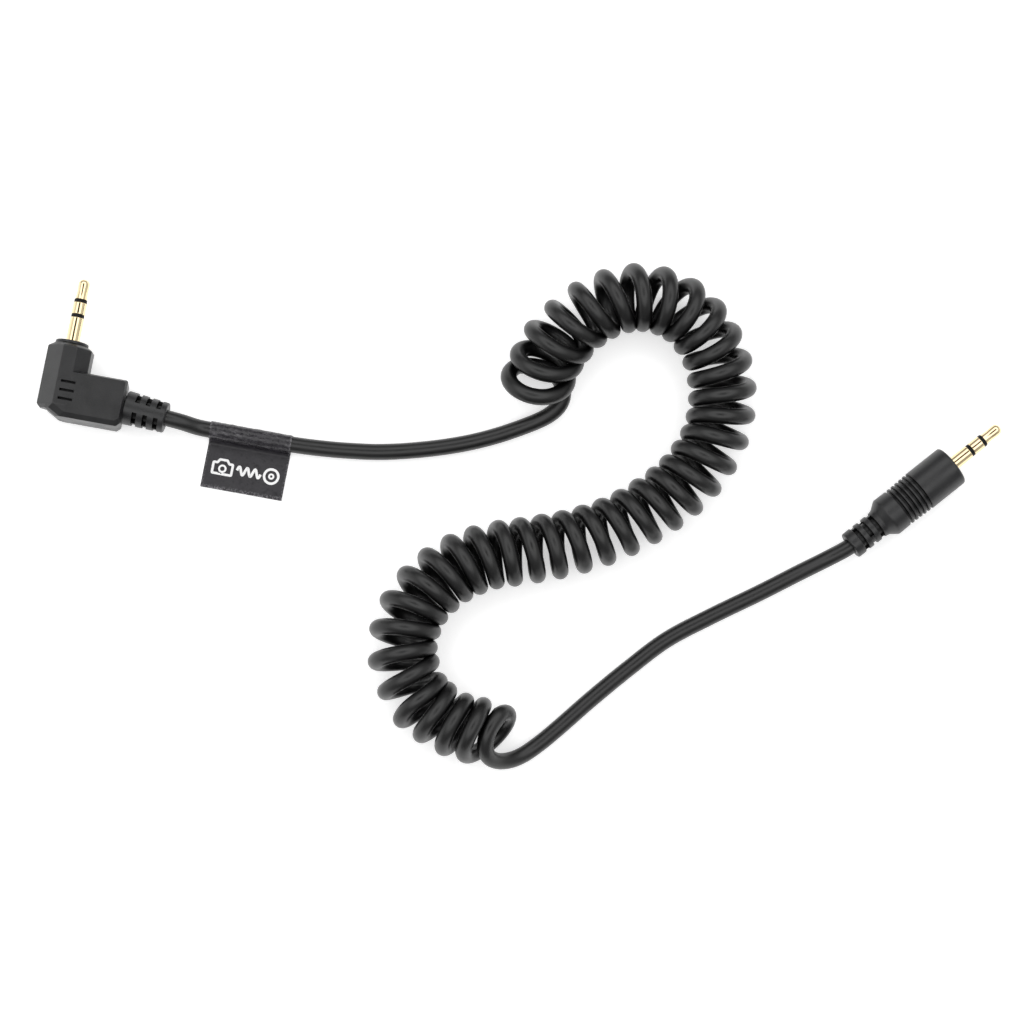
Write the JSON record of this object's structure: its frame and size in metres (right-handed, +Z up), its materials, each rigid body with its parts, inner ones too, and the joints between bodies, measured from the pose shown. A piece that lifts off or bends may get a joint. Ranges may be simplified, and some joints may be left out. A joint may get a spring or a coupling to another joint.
{
  "type": "shutter release cable",
  "caption": "Curly electronic shutter release cable laid in an S, with a right-angle mini plug at one end and a straight ribbed mini plug at the other.",
  "frame": {"origin": "on the surface the cable lies on, under the middle of the box that holds the two plugs", "axes": "+Z up from the surface; +X from the right-angle camera plug towards the straight remote plug; +Y to the side the camera plug's pin points"},
  "size_m": [0.1765, 0.0935, 0.013],
  "materials": {
    "plug_moulding": "matt moulded PVC",
    "cord_jacket": "satin extruded PVC",
    "gold_contact": "polished pale gold plate",
    "pole_insulator": "black nylon",
    "inner_mould": "natural polythene",
    "label_vinyl": "black vinyl label with white print",
    "wire_red": "red wire insulation",
    "wire_white": "white wire insulation",
    "wire_copper": "bare copper strands"
  },
  "bodies": {
    "root": {"camera_plug_tip_contact": "gold_contact", "camera_plug_tip_insulator": "pole_insulator", "camera_plug_ring_contact": "gold_contact", "camera_plug_ring_insulator": "pole_insulator", "camera_plug_sleeve_contact": "gold_contact", "camera_plug_terminal_spacer": "pole_insulator", "camera_plug_inner_mould": "inner_mould", "camera_plug_sleeve_lug": "gold_contact", "camera_plug_ring_lug": "gold_contact", "camera_plug_tip_lug": "gold_contact", "camera_plug_front_collar": "plug_moulding", "camera_plug_housing": "plug_moulding", "camera_plug_strain_relief": "plug_moulding", "camera_plug_cord_end": "cord_jacket", "camera_plug_wire_tip": "wire_red", "camera_plug_wire_ring": "wire_white", "camera_plug_wire_sleeve": "wire_copper", "remote_plug_tip_contact": "gold_contact", "remote_plug_tip_insulator": "pole_insulator", "remote_plug_ring_contact": "gold_contact", "remote_plug_ring_insulator": "pole_insulator", "remote_plug_sleeve_contact": "gold_contact", "remote_plug_terminal_spacer": "pole_insulator", "remote_plug_inner_mould": "inner_mould", "remote_plug_sleeve_lug": "gold_contact", "remote_plug_ring_lug": "gold_contact", "remote_plug_tip_lug": "gold_contact", "remote_plug_housing": "plug_moulding", "remote_plug_cord_end": "cord_jacket", "remote_plug_wire_tip": "wire_red", "remote_plug_wire_ring": "wire_white", "remote_plug_wire_sleeve": "wire_copper", "camera_lead": "cord_jacket", "curly_cord": "cord_jacket", "remote_lead": "cord_jacket", "label_flag": "label_vinyl"}
  },
  "joints": []
}
